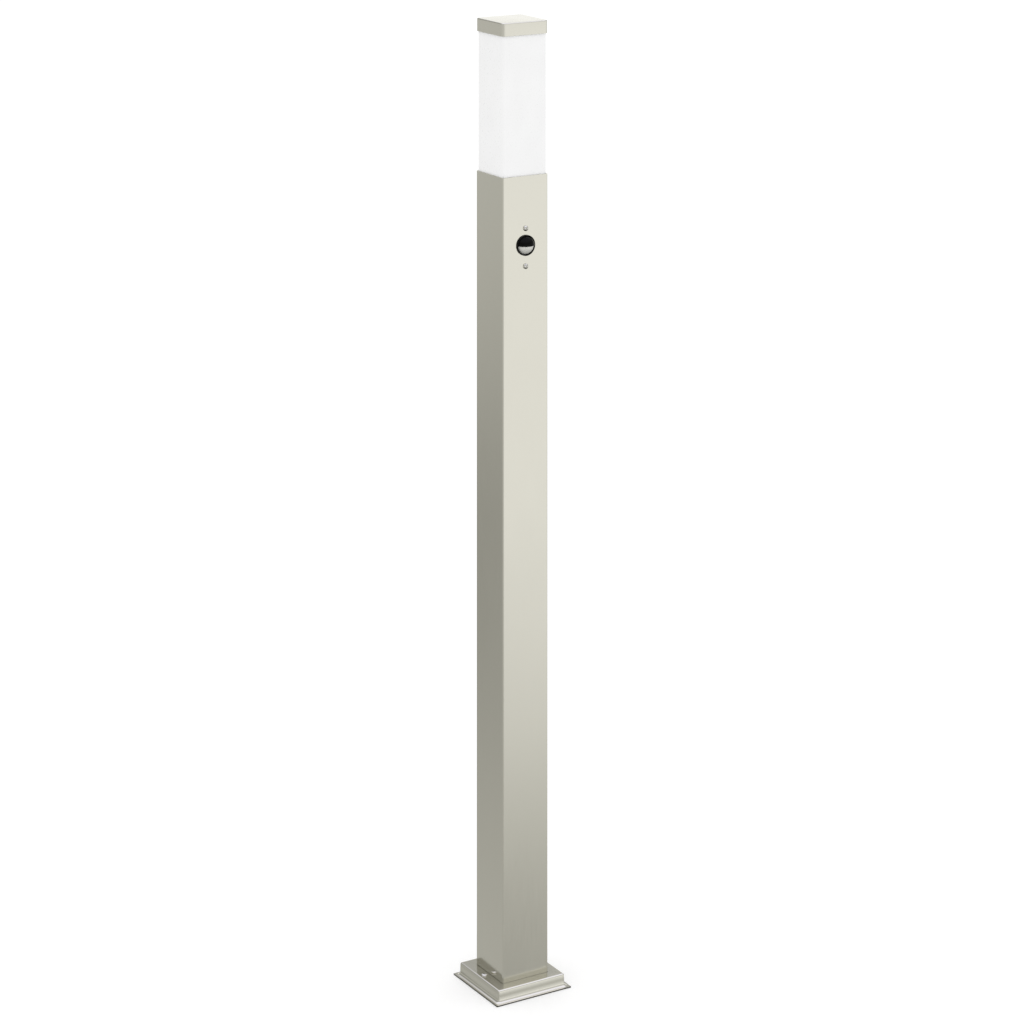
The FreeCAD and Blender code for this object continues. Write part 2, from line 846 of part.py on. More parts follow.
def bulb_insulator():
    rim_r = bulb_cap_r - bulb_cap_bevel
    outline = [
        (0, 0),
        (bulb_tip_r + bulb_tip_bevel, 0),
        (rim_r, bulb_glass_height - bulb_tip_bevel),
        (rim_r, bulb_glass_height),
        (0, bulb_glass_height),
    ]
    return turned(outline, bulb_glass_z)


def bulb_screw_cap():
    inner_r = bulb_cap_r - bulb_cap_wall
    outline = [
        (0, 0),
        (bulb_cap_r - bulb_cap_bevel, 0),
        (bulb_cap_r, bulb_cap_bevel),
        (bulb_cap_r, bulb_cap_height),
        (inner_r, bulb_cap_height),
        (inner_r, bulb_cap_floor),
        (0, bulb_cap_floor),
    ]
    return turned(outline, bulb_cap_z)


def globe_rim_r():
    return math.sqrt(bulb_globe_r**2 - (globe_z - bulb_body_top) ** 2)


def bulb_body():
    """The skirt between the screw cap and the globe. Its stub fills the cap's mouth."""
    rim_r = globe_rim_r()
    stub_r = bulb_cap_r - bulb_cap_wall - snug_gap
    outline = [
        (0, -bulb_stub),
        (stub_r, -bulb_stub),
        (stub_r, 0),
        (bulb_neck_r, 0),
        (bulb_neck_r, bulb_collar),
        ((bulb_neck_r + rim_r) / 2, bulb_body_height / 2 + bulb_collar),
        (rim_r, bulb_body_height - bulb_lip),
        (rim_r, bulb_body_height),
        (0, bulb_body_height),
    ]
    return turned(outline, bulb_body_z)


def bulb_board_piece():
    return cylinder(bulb_board_r, bulb_body_top, bulb_body_top + bulb_board)


def bulb_globe():
    centre = point(0, 0, globe_z)
    shell = Part.makeSphere(bulb_globe_r, centre).cut(Part.makeSphere(bulb_globe_r - bulb_globe_wall, centre))
    return shell.common(cylinder(bulb_globe_r + 1, bulb_body_top, globe_z + bulb_globe_r + 1))


# Head


def diffuser():
    return square_tube(diffuser_half, diffuser_wall, diffuser_corner_r, diffuser_bottom, plug_z)


def cap_plug():
    """Closes the diffuser's top and carries the cap."""
    half = diffuser_inner - plug_gap
    flange_top = plug_z + plug_top
    body = square_tube(half, plug_wall, plug_corner_r, plug_z - plug_depth, plug_z)
    return body.fuse(square_prism(cap_inner - plug_gap, cap_corner_r - cap_sheet, plug_z, flange_top))


def top_cap():
    block = square_prism(cap_half, cap_corner_r, cap_bottom, total_height)
    rim = [edge for edge in block.Edges if edge.BoundBox.ZMin > total_height - 0.001]
    block = block.makeFillet(cap_edge_r, rim)
    inside_r = cap_corner_r - cap_sheet
    return block.cut(square_prism(cap_inner, inside_r, cap_bottom - 1, total_height - cap_sheet))


pieces = {
    "base_plate": base_plate(),
    "post_bracket": post_bracket(),
    "cable_grommet": cable_grommet(),
    "post_fixing_screws": post_fixing_screws(),
    "base_cover": base_cover(),
    "cover_screws": cover_screws(),
    "post_tube": post_tube(),
    "lock_screw": lock_screw(),
    "terminal_block": terminal_block(),
    "terminal_screws": terminal_screws(),
    "terminal_fixings": terminal_fixings(),
    "earth_tag": earth_tag(),
    "earth_screw": earth_screw(),
    "earth_wire": earth_wire(),
    "supply_lead": supply_lead(),
    "supply_cores": supply_cores(),
    "lead_clips": lead_clips(),
    "lamp_lead": lamp_lead(),
    "sensor_gasket": sensor_gasket_piece(),
    "sensor_housing": sensor_housing(),
    "sensor_back_cover": sensor_back_cover(),
    "sensor_bezel": sensor_bezel(),
    "sensor_lens": sensor_lens(),
    "sensor_hood": sensor_hood(),
    "sensor_board": sensor_board(),
    "pir_element": pir_element(),
    "sensor_relay": sensor_relay(),
    "sensor_screws": sensor_screws(),
    "holder_tray": holder_tray(),
    "head_seal": head_seal(),
    "lamp_holder": lamp_holder(),
    "holder_sleeve": holder_sleeve(),
    "holder_contact": holder_contact(),
    "holder_screws": holder_screws(),
    "bulb_contact": bulb_contact(),
    "bulb_insulator": bulb_insulator(),
    "bulb_screw_cap": bulb_screw_cap(),
    "bulb_body": bulb_body(),
    "bulb_board": bulb_board_piece(),
    "bulb_globe": bulb_globe(),
    "diffuser": diffuser(),
    "cap_plug": cap_plug(),
    "top_cap": top_cap(),
}

os.makedirs("parts", exist_ok=True)
for name, made in pieces.items():
    solids = [solid for shape in (made if isinstance(made, list) else [made]) for solid in shape.Solids]
    whole = solids[0] if len(solids) == 1 else Part.makeCompound(solids)
    whole.exportStep(os.path.join("parts", name + ".step"))
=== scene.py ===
import json
import math

import bmesh
import bpy
from mathutils import Matrix, Vector


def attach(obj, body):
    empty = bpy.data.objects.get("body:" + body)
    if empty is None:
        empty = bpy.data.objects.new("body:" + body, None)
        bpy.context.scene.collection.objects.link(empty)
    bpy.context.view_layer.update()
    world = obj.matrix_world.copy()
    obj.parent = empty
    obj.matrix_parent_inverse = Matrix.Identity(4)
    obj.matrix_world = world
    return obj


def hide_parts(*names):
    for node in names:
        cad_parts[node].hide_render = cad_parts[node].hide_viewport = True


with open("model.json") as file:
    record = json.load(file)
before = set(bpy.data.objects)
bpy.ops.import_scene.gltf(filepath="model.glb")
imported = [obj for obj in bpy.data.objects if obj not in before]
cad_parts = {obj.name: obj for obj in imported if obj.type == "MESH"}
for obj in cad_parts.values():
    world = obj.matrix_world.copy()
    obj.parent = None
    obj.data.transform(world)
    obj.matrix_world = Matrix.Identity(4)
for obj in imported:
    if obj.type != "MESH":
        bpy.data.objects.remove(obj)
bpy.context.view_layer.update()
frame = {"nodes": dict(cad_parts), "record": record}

# What the frame says about each part
parts = frame["nodes"]
record = frame["record"]
slot_of = {part["node"]: part["material_slot"] for part in record["subparts"]}
tone_of = {finish["slot"]: finish["base_color"] for finish in record["materials"]}
body_of = {node: body for body, nodes in record["behaviour"]["bodies"].items() for node in nodes}

MM = 0.001

# A level camera whose lens is slid down, so that uprights stay upright in the view
EYE_HEIGHT = 1.5744
EYE_DISTANCE = 3.559
BEARING = math.radians(-30.97)
LENS_MM = 114.0
FILM_WIDTH = 36.0
LENS_DROP = 0.29175      # how far the middle of the view lies below the horizon, over its distance

# The studio as polished steel mirrors it: height of the reflected ray, brightness there
SIDE_OF_SHADE = ((-1.0, 0.08), (-0.72, 0.10), (-0.58, 0.42), (-0.39, 0.50), (-0.35, 0.405), (-0.30, 0.31),
                 (-0.265, 0.335), (-0.22, 0.49), (-0.12, 0.56), (0.10, 0.42), (0.40, 0.23), (0.75, 1.06),
                 (1.0, 1.10))
SIDE_OF_LIGHT = ((-1.0, 0.08), (-0.72, 0.10), (-0.58, 0.40), (-0.42, 0.28), (-0.40, 0.33), (-0.375, 0.50),
                 (-0.34, 0.77), (-0.30, 0.96), (-0.24, 0.96), (-0.12, 0.93), (0.10, 0.80), (0.40, 0.45),
                 (0.55, 0.80), (0.75, 1.08), (1.0, 1.10))
SIDE_SHARE = ((0.0, 0.0), (0.25, 0.18), (0.60, 0.22), (0.95, 1.0))     # from the side in shade to the light
DUSK = 1.05              # darker tones are a little yellower
SKY = 2.9                # what is brighter than white paper is cooler

# Behind the lamp steel also mirrors a soft white panel: where it begins and is whole, its rows, its tone
PANEL_SPAN = (0.80, 0.97)
PANEL_ROWS = ((0.5, 0.0), (0.53, 1.0), (0.60, 1.0), (0.69, 0.18), (0.8, 0.0))
PANEL_TONE = (1.08, 1.08, 1.07, 1.0)

FLOOR_HALF = 60.0
FLOOR_DROP = 0.2 * MM
FLOOR_GLOW = 0.17

# Finishes. Scratches a metre along X, Y and Z: few along the grain, many across it
STEEL = (0.79, 0.773, 0.685)
POST_GRAIN = (2600.0, 2600.0, 22.0)
COVER_GRAIN = (1900.0, 26.0, 1900.0)
CAP_GRAIN = (26.0, 1900.0, 1900.0)
METAL_SKIN = 0.004 * MM  # how deep the scratches and the fine grain of metal are
FLANGE_SHADE_FROM = 48.8 * MM  # past this the cover's sheet shows its sheared edge: rougher, and painted dark as shade
LENS_SHADE_DEEPEST = 0.836        # painted shade on the lens is deepest at this height, and gone at the next
LENS_SHADE_GONE = 0.850
CORE_SPLIT = 0.1 * MM    # the middle core is nearer to the middle than this
BOARD_CELLS = 420.0      # patches of track a metre

# Surfaces
CREASE = 32.0            # degrees from which an edge stays sharp
FLAT_WITHIN = 0.4        # degrees within which faces are one flat face
POINTS_MEET = 0.002 * MM
SEAMS_MEET = 0.001 * MM
CUTS_MEET = 0.0001 * MM
THREAD_ROWS = 8          # rows of a screw's mesh on each turn of its thread
UP = (0.0, 0.0, 1.0)
FORWARD = (0.0, -1.0, 0.0)

# The foot cover's wall
WALL_HALF = 44.0 * MM
WALL_CORNER = 2.5 * MM
WALL_FOOT = 4.7 * MM
WALL_TOP = 13.0 * MM
WALL_STEPS = 10
WALL_LEAN = 0.30 * MM
WALL_NEAR = 0.3 * MM      # what is further in than the wall stays where it is

# Screws in millimetres: shank and head radius, head height, pitch, thread depth
SCREW_SIZES = {
    "M4": (2.0, 3.5, 2.5, 0.7, 0.32), "M3": (1.45, 3.1, 2.4, 0.5, 0.24),
    "M3_small": (1.45, 2.48, 1.92, 0.5, 0.24),
}

# For each part: screw size, the way the heads look, the head's height over the usual one, its turn in degrees
SCREWS = {
    "cover_screws": ("M4", (0, 0, 1), 0.66, 52.0), "sensor_screws": ("M3", (0, -1, 0), 1.0, 35.0),
    "lock_screw": ("M4", (0, 1, 0), 1.0, 20.0), "post_fixing_screws": ("M4", (0, -1, 0), 1.0, 12.0),
    "terminal_fixings": ("M3_small", (0, -1, 0), 1.0, 8.0), "earth_screw": ("M4", (0, 1, 0), 1.0, 28.0),
    "holder_screws": ("M3", (0, 0, -1), 1.0, 0.0),
}
BOTH_WAYS = {"post_fixing_screws"}       # on two sides of the post, each head looks outwards

# Edge breaks in millimetres, for the parts whose edges are not already rounded
EDGE_BREAKS = {
    "base_plate": 0.25, "post_bracket": 0.25, "cable_grommet": 0.2, "base_cover": 0.08, "post_tube": 0.3,
    "terminal_block": 0.25, "earth_tag": 0.08, "lead_clips": 0.12, "sensor_gasket": 0.12,
    "sensor_housing": 0.25, "sensor_back_cover": 0.25, "sensor_bezel": 0.06, "sensor_board": 0.1,
    "pir_element": 0.1, "sensor_relay": 0.3, "holder_tray": 0.2, "head_seal": 0.2, "lamp_holder": 0.4,
    "holder_contact": 0.08, "bulb_contact": 0.1, "bulb_insulator": 0.2, "bulb_body": 0.25, "bulb_board": 0.12,
    "bulb_globe": 0.1, "diffuser": 0.25, "cap_plug": 0.2, "top_cap": 0.1,
}


class Web:
    """A node tree with short ways to add nodes and join them."""

    def __init__(self, tree):
        self.tree = tree

    def add(self, kind, inputs=None, **settings):
        node = self.tree.nodes.new(kind)
        for name, value in settings.items():
            setattr(node, name, value)
        for key, value in (inputs or {}).items():
            self.feed(node.inputs[key], value)
        return node

    def feed(self, socket, value):
        if isinstance(value, bpy.types.NodeSocket):
            self.tree.links.new(value, socket)
        else:
            socket.default_value = value

    def math(self, operation, *values):
        node = self.add("ShaderNodeMath", operation=operation)
        for socket, value in zip(node.inputs, values):
            self.feed(socket, value)
        return node.outputs[0]

    def scale(self, value, low, high, start=0.0, end=1.0, smooth=False):
        """A value taken from one range to another."""
        kind = "SMOOTHSTEP" if smooth else "LINEAR"
        node = self.add("ShaderNodeMapRange", interpolation_type=kind)
        for name, setting in (("Value", value), ("From Min", start), ("From Max", end),
                              ("To Min", low), ("To Max", high)):
            self.feed(node.inputs[name], setting)
        return node.outputs["Result"]

    def blend(self, share, first, second):
        """A colour between two colours."""
        node = self.add("ShaderNodeMix", data_type="RGBA")
        colours = [socket for socket in node.inputs if socket.type == "RGBA"]
        self.feed(node.inputs[0], share)
        self.feed(colours[0], first)
        self.feed(colours[1], second)
        return [socket for socket in node.outputs if socket.type == "RGBA"][0]

    def ramp(self, value, stops):
        """Greys along a ramp, from (place, brightness) pairs."""
        node = self.add("ShaderNodeValToRGB", {"Fac": value})
        line = node.color_ramp
        while len(line.elements) < len(stops):
            line.elements.new(0.5)
        for element, (place, grey) in zip(line.elements, stops):
            element.position = place
            element.color = (grey, grey, grey ** (SKY if grey > 1.0 else DUSK), 1.0)
        return node.outputs["Color"]


def colour(tone, lift=1.0):
    return (tone[0] * lift, tone[1] * lift, tone[2] * lift, 1.0)


# Camera, floor and light


def make_camera():
    """The camera's frame leans, which only a parent's inverse can hold, so it has a stand."""
    right = Vector((math.cos(BEARING), math.sin(BEARING), 0.0))
    toward = Vector((math.sin(BEARING), -math.cos(BEARING), 0.0))
    up = Vector(UP)
    back = (toward + LENS_DROP * up).normalized()
    place = toward * EYE_DISTANCE + up * EYE_HEIGHT
    data = bpy.data.cameras.new("view_camera")
    data.lens = LENS_MM
    data.sensor_width = FILM_WIDTH
    camera = bpy.data.objects.new("view_camera", data)
    stand = bpy.data.objects.new("camera_stand", None)
    camera.parent = stand
    columns = Matrix((right, up, back)).transposed().to_4x4()
    columns.translation = place
    camera.matrix_parent_inverse = columns
    for item in (stand, camera):
        bpy.context.scene.collection.objects.link(item)
    bpy.context.scene.camera = camera


def make_floor():
    mesh = bpy.data.meshes.new("studio_floor")
    corners = [(x * FLOOR_HALF, y * FLOOR_HALF, 0.0) for x, y in ((-1, -1), (1, -1), (1, 1), (-1, 1))]
    mesh.from_pydata(corners, [], [(0, 1, 2, 3)])
    floor = bpy.data.objects.new("studio_floor", mesh)
    bpy.context.scene.collection.objects.link(floor)
    floor.location.z = -FLOOR_DROP
    floor.visible_glossy = False
    material = bpy.data.materials.new("studio_floor")
    material.use_nodes = True
    web = Web(material.node_tree)
    skin = material.node_tree.nodes["Principled BSDF"]
    cloud = web.add("ShaderNodeTexNoise", {"Scale": 2.0, "Detail": 2.0}).outputs["Fac"]
    web.feed(skin.inputs["Base Color"], web.blend(cloud, (0.90, 0.90, 0.90, 1), (0.92, 0.92, 0.92, 1)))
    skin.inputs["Roughness"].default_value = 0.9
    skin.inputs["Specular IOR Level"].default_value = 0.0
    skin.inputs["Emission Color"].default_value = (1.0, 1.0, 1.0, 1.0)
    skin.inputs["Emission Strength"].default_value = FLOOR_GLOW
    mesh.materials.append(material)


def make_studio():
    """White all round, except in what metal mirrors: there, one side is light and one in shade."""
    world = bpy.data.worlds.new("studio")
    bpy.context.scene.world = world
    world.use_nodes = True
    world.cycles.sampling_method = "NONE"
    tree = world.node_tree
    tree.nodes.clear()
    web = Web(tree)
    ray = web.add("ShaderNodeTexCoord").outputs["Generated"]
    rise = web.add("ShaderNodeSeparateXYZ", {"Vector": ray}).outputs["Z"]
    height = web.math("MULTIPLY_ADD", rise, 0.5, 0.5)
    sides = [web.ramp(height, [(0.5 + 0.5 * z, grey) for z, grey in side])
             for side in (SIDE_OF_SHADE, SIDE_OF_LIGHT)]
    light_way = (-math.sin(BEARING), -math.cos(BEARING), 0.0)
    along = web.add("ShaderNodeVectorMath", {0: ray, 1: light_way}, operation="DOT_PRODUCT")
    share = web.ramp(web.scale(along.outputs["Value"], 0.0, 1.0, -1.0, 1.0), SIDE_SHARE)
    mirrored = web.blend(share, sides[0], sides[1])
    away = (-math.sin(BEARING), math.cos(BEARING), 0.0)
    behind = web.add("ShaderNodeVectorMath", {0: ray, 1: away}, operation="DOT_PRODUCT").outputs["Value"]
    behind = web.scale(behind, 0.0, 1.0, *PANEL_SPAN, smooth=True)
    low = web.ramp(height, PANEL_ROWS)
    mirrored = web.blend(web.math("MULTIPLY", behind, low), mirrored, PANEL_TONE)
    glossy = web.add("ShaderNodeLightPath").outputs["Is Glossy Ray"]
    seen = web.blend(glossy, (1.0, 1.0, 1.0, 1.0), mirrored)
    light = web.add("ShaderNodeBackground", {"Color": seen, "Strength": 1.0})
    web.add("ShaderNodeOutputWorld", {"Surface": light.outputs[0]})
    bpy.context.scene.view_settings.view_transform = "Standard"


# Finishes


def new_finish(name):
    material = bpy.data.materials.new(name)
    material.use_nodes = True
    return material, Web(material.node_tree), material.node_tree.nodes["Principled BSDF"]


def spread(web, scale, detail=2.0):
    """Noise on the object's own coordinates, with its own scale along X, Y and Z in turns a metre."""
    place = web.add("ShaderNodeTexCoord").outputs["Object"]
    stretched = web.add("ShaderNodeMapping", {"Vector": place, "Scale": scale}).outputs["Vector"]
    return web.add("ShaderNodeTexNoise", {"Vector": stretched, "Scale": 1.0, "Detail": detail}).outputs["Fac"]


def relief(web, skin, height, depth, strength):
    bump = web.add("ShaderNodeBump", {"Height": height, "Distance": depth, "Strength": strength})
    web.feed(skin.inputs["Normal"], bump.outputs["Normal"])


def ground_steel(name, tone, roughness, grain):
    """Satin stainless: fine parallel scratches over slow, faint clouds."""
    material, web, skin = new_finish(name)
    scratches = spread(web, grain, 3.0)
    clouds = spread(web, (9.0, 9.0, 5.0), 2.0)
    skin.inputs["Metallic"].default_value = 1.0
    web.feed(skin.inputs["Base Color"], web.blend(scratches, colour(tone, 0.975), colour(tone, 1.015)))
    streaks = web.scale(scratches, -0.025, 0.025, 0.3, 0.7)
    uneven = web.math("ADD", streaks, web.scale(clouds, -0.02, 0.02, 0.3, 0.7))
    web.feed(skin.inputs["Roughness"], web.math("ADD", uneven, roughness))
    relief(web, skin, scratches, METAL_SKIN, 0.3)
    return material


def edge_shaded_steel(name, tone, roughness, grain, shade_from):
    """Satin stainless whose sheared edge, past the given distance from the middle, is rougher and painted
    dark as shade.
    """
    material = ground_steel(name, tone, roughness, grain)
    web = Web(material.node_tree)
    skin = material.node_tree.nodes["Principled BSDF"]
    place = web.add("ShaderNodeTexCoord").outputs["Object"]
    out = web.add("ShaderNodeVectorMath", {0: place}, operation="ABSOLUTE").outputs["Vector"]
    ways = web.add("ShaderNodeSeparateXYZ", {"Vector": out}).outputs
    shaded_rough_edge = web.math("GREATER_THAN", web.math("MAXIMUM", ways["X"], ways["Y"]), shade_from)
    face_tone = skin.inputs["Base Color"].links[0].from_socket
    # painted shade: the flange's edge is darkened to stand in for the shadow and dark reflection along the
    # cover's foot
    web.feed(skin.inputs["Base Color"], web.blend(shaded_rough_edge, face_tone, colour(tone, 0.16)))
    face_roughness = skin.inputs["Roughness"].links[0].from_socket
    edge_roughness = web.math("MULTIPLY", shaded_rough_edge, 0.45)
    web.feed(skin.inputs["Roughness"], web.math("MAXIMUM", face_roughness, edge_roughness))
    return material


def plain_metal(name, tone, roughness, patch):
    """Plated or drawn metal: patches of slightly different shine, and a fine skin."""
    material, web, skin = new_finish(name)
    patches = spread(web, (patch, patch, patch), 3.0)
    fine = spread(web, (2500.0, 2500.0, 2500.0), 1.0)
    skin.inputs["Metallic"].default_value = 1.0
    web.feed(skin.inputs["Base Color"], web.blend(patches, colour(tone, 0.86), colour(tone, 1.06)))
    web.feed(skin.inputs["Roughness"], web.scale(patches, roughness - 0.08, roughness + 0.10, 0.3, 0.7))
    relief(web, skin, fine, METAL_SKIN, 0.6)
    return material


def moulded(name, tone, roughness, grain=1500.0, depth=0.012, shine=0.5):
    """Moulded plastic, rubber or glaze: fine grain from the mould, and flow marks."""
    material, web, skin = new_finish(name)
    flow = spread(web, (45.0, 45.0, 25.0), 2.0)
    fine = spread(web, (grain, grain, grain), 2.0)
    web.feed(skin.inputs["Base Color"], web.blend(flow, colour(tone, 0.97), colour(tone, 1.03)))
    web.feed(skin.inputs["Roughness"], web.scale(fine, roughness - 0.04, roughness + 0.05, 0.3, 0.7))
    skin.inputs["Specular IOR Level"].default_value = shine
    relief(web, skin, fine, depth * MM, 0.7)
    return material


def lens_with_painted_shade(name, tone, shaded_lift, low, high):
    """Milky plastic with painted shade that darkens it towards its lower edge, between two heights in metres.
    """
    material = moulded(name, tone, 0.34, 900.0, 0.004)
    web = Web(material.node_tree)
    skin = material.node_tree.nodes["Principled BSDF"]
    place = web.add("ShaderNodeSeparateXYZ", {"Vector": web.add("ShaderNodeTexCoord").outputs["Object"]})
    usual = skin.inputs["Base Color"].links[0].from_socket
    share = web.scale(place.outputs["Z"], 0.0, 1.0, low, high, smooth=True)
    # painted shade: the lower part of the lens is darkened as if it were in shade
    web.feed(skin.inputs["Base Color"], web.blend(share, colour(tone, shaded_lift), usual))
    return material


def green_and_yellow(name, roughness):
    """Earth insulation: yellow stripes along a green wire."""
    material, web, skin = new_finish(name)
    facing = web.add("ShaderNodeSeparateXYZ", {"Vector": web.add("ShaderNodeTexCoord").outputs["Normal"]})
    stripe = web.math("GREATER_THAN", web.math("ABSOLUTE", facing.outputs["X"]), 0.72)
    web.feed(skin.inputs["Base Color"], web.blend(stripe, (0.03, 0.22, 0.04, 1), (0.75, 0.62, 0.03, 1)))
    skin.inputs["Roughness"].default_value = roughness
    relief(web, skin, spread(web, (1800.0, 1800.0, 1800.0)), 0.01 * MM, 0.6)
    return material


def three_cores(name, roughness):
    """Brown, green and blue insulation, by each core's place across the lead."""
    material, web, skin = new_finish(name)
    place = web.add("ShaderNodeSeparateXYZ", {"Vector": web.add("ShaderNodeTexCoord").outputs["Object"]})
    left = web.math("LESS_THAN", place.outputs["X"], -CORE_SPLIT)
    right = web.math("GREATER_THAN", place.outputs["X"], CORE_SPLIT)
    shade = web.blend(left, (0.08, 0.30, 0.05, 1), (0.14, 0.055, 0.025, 1))
    web.feed(skin.inputs["Base Color"], web.blend(right, shade, (0.03, 0.10, 0.38, 1)))
    skin.inputs["Roughness"].default_value = roughness
    relief(web, skin, spread(web, (1800.0, 1800.0, 1800.0)), 0.01 * MM, 0.6)
    return material


def circuit_board(name, tone):
    """Green lacquer over copper tracks, with bare pads."""
    material, web, skin = new_finish(name)
    place = web.add("ShaderNodeTexCoord").outputs["Object"]
    across = {"Vector": place, "Scale": BOARD_CELLS}
    cells = web.add("ShaderNodeTexVoronoi", across, distance="MANHATTAN", feature="F1")
    edges = web.add("ShaderNodeTexVoronoi", across, feature="DISTANCE_TO_EDGE")
    track = web.math("LESS_THAN", edges.outputs["Distance"], 0.10)
    pad = web.math("LESS_THAN", cells.outputs["Distance"], 0.12)
    lacquer = web.blend(track, colour(tone), colour(tone, 1.8))
    web.feed(skin.inputs["Base Color"], web.blend(pad, lacquer, (0.80, 0.78, 0.70, 1)))
    web.feed(skin.inputs["Metallic"], pad)
    skin.inputs["Roughness"].default_value = 0.28
    relief(web, skin, web.math("ADD", track, pad), 0.03 * MM, 0.6)
    return material


def make_finishes():
    """One finish for each of the record's material slots."""
    made = {
        "post_steel": ground_steel("post_steel", STEEL, 0.17, POST_GRAIN),
        "cover_steel": edge_shaded_steel("cover_steel", STEEL, 0.16, COVER_GRAIN, FLANGE_SHADE_FROM),
        "cap_steel": ground_steel("cap_steel", STEEL, 0.17, CAP_GRAIN),
        "screw_steel": plain_metal("screw_steel", (0.84, 0.83, 0.79), 0.18, 900.0),
        "plated_steel": plain_metal("plated_steel", (0.60, 0.60, 0.58), 0.36, 160.0),
        "tinned_copper": plain_metal("tinned_copper", (0.72, 0.71, 0.68), 0.30, 300.0),
        "brass": plain_metal("brass", (0.75, 0.55, 0.25), 0.26, 240.0),
        "can_steel": plain_metal("can_steel", (0.72, 0.71, 0.67), 0.24, 300.0),
        "bulb_cap_metal": plain_metal("bulb_cap_metal", (0.78, 0.77, 0.74), 0.27, 200.0),
        "bulb_board_metal": plain_metal("bulb_board_metal", (0.82, 0.82, 0.80), 0.40, 200.0),
        "black_rubber": moulded("black_rubber", (0.022, 0.022, 0.022), 0.62, 900.0, 0.03),
        "terminal_plastic": moulded("terminal_plastic", tone_of["terminal_plastic"], 0.38),
        "lead_sheath": moulded("lead_sheath", (0.03, 0.03, 0.032), 0.48, 700.0, 0.03),
        "clip_plastic": moulded("clip_plastic", tone_of["clip_plastic"], 0.40),
        "sensor_case": moulded("sensor_case", (0.02, 0.02, 0.021), 0.45, 1600.0, 0.02),
        "sensor_gloss": moulded("sensor_gloss", (0.003, 0.003, 0.003), 0.16, 300.0, 0.002, shine=0.08),
        "lens_plastic": lens_with_painted_shade("lens_plastic", (0.74, 0.74, 0.69), 0.5, LENS_SHADE_DEEPEST, LENS_SHADE_GONE),
        "relay_blue": moulded("relay_blue", tone_of["relay_blue"], 0.34),
        "porcelain": moulded("porcelain", (0.82, 0.80, 0.75), 0.16, 260.0, 0.01),
        "bulb_glass": moulded("bulb_glass", (0.02, 0.02, 0.03), 0.12, 300.0, 0.004),
        "bulb_plastic": moulded("bulb_plastic", (0.80, 0.80, 0.78), 0.34, 1200.0, 0.01),
        "bulb_opal": moulded("bulb_opal", (0.88, 0.88, 0.86), 0.30, 600.0, 0.001),
        "opal_diffuser": moulded("opal_diffuser", (0.882, 0.882, 0.882), 0.30, 500.0, 0.0008),
        "plug_plastic": moulded("plug_plastic", (0.84, 0.84, 0.83), 0.36, 1200.0, 0.01),
        "earth_insulation": green_and_yellow("earth_insulation", 0.42),
        "core_insulation": three_cores("core_insulation", 0.42),
        "board_green": circuit_board("board_green", tone_of["board_green"]),
    }
    missing = set(slot_of.values()) - set(made)
    assert not missing, missing
    return made


# Geometry trees


class Tree(Web):
    """A geometry tree whose sizes are named inputs. It makes a shape that stands along Z."""

    def __init__(self, name, sizes):
        group = bpy.data.node_groups.new(name, "GeometryNodeTree")
        face = group.interface
        face.new_socket("Seats", in_out="INPUT", socket_type="NodeSocketGeometry")
        face.new_socket("Finish", in_out="INPUT", socket_type="NodeSocketMaterial")
        for size, usual in sizes.items():
            kind = "NodeSocketInt" if isinstance(usual, int) else "NodeSocketFloat"
            face.new_socket(size, in_out="INPUT", socket_type=kind).default_value = usual
        face.new_socket("Shape", in_out="OUTPUT", socket_type="NodeSocketGeometry")
        super().__init__(group)
        self.given = self.add("NodeGroupInput").outputs

    def stage(self, along, start, end, amount=1.0):
        """The share of amount that is reached while along goes from start to end."""
        return self.math("MULTIPLY", self.scale(along, 0.0, 1.0, start, end), amount)

    def turned(self, rows, round_steps, outline):
        """A sheet wrapped round Z. The outline gives radius and height from the turn and the way along."""
        grid = self.add("GeometryNodeMeshGrid", {
            "Size X": 1.0, "Size Y": 1.0, "Vertices X": round_steps, "Vertices Y": rows})
        place = self.add("GeometryNodeInputPosition").outputs[0]
        ways = self.add("ShaderNodeSeparateXYZ", {"Vector": place}).outputs
        turn = self.math("ADD", ways["X"], 0.5)
        along = self.math("ADD", ways["Y"], 0.5)
        radius, height = outline(turn, along)
        angle = self.math("MULTIPLY", turn, -2.0 * math.pi)
        x = self.math("MULTIPLY", radius, self.math("COSINE", angle))
        y = self.math("MULTIPLY", radius, self.math("SINE", angle))
        bent = self.add("ShaderNodeCombineXYZ", {"X": x, "Y": y, "Z": height}).outputs[0]
        wrapped = self.add("GeometryNodeSetPosition", {"Geometry": grid.outputs["Mesh"], "Position": bent})
        return wrapped.outputs[0]

    def welded(self, *shapes):
        """Shapes in one, with their seams and poles closed."""
        joined = self.add("GeometryNodeJoinGeometry")
        for shape in shapes:
            self.tree.links.new(shape, joined.inputs[0])
        whole = self.add("GeometryNodeMergeByDistance", {
            "Geometry": joined.outputs[0], "Distance": SEAMS_MEET})
        return whole.outputs[0]

    def finish(self, shape):
        """One copy of the shape on each seat, along the seat's heading, in the given finish."""
        heading = self.add("GeometryNodeInputNamedAttribute", data_type="FLOAT_VECTOR")
        heading.inputs["Name"].default_value = "heading"
        turn = self.add("FunctionNodeAlignRotationToVector", {"Vector": heading.outputs[0]}, axis="Z")
        copies = self.add("GeometryNodeInstanceOnPoints", {
            "Points": self.given["Seats"], "Instance": shape, "Rotation": turn.outputs[0]})
        whole = self.add("GeometryNodeRealizeInstances", {"Geometry": copies.outputs[0]}).outputs[0]
        dressed = self.add("GeometryNodeSetMaterial", {"Geometry": whole, "Material": self.given["Finish"]})
        self.add("NodeGroupOutput", {"Shape": dressed.outputs[0]})
        return self


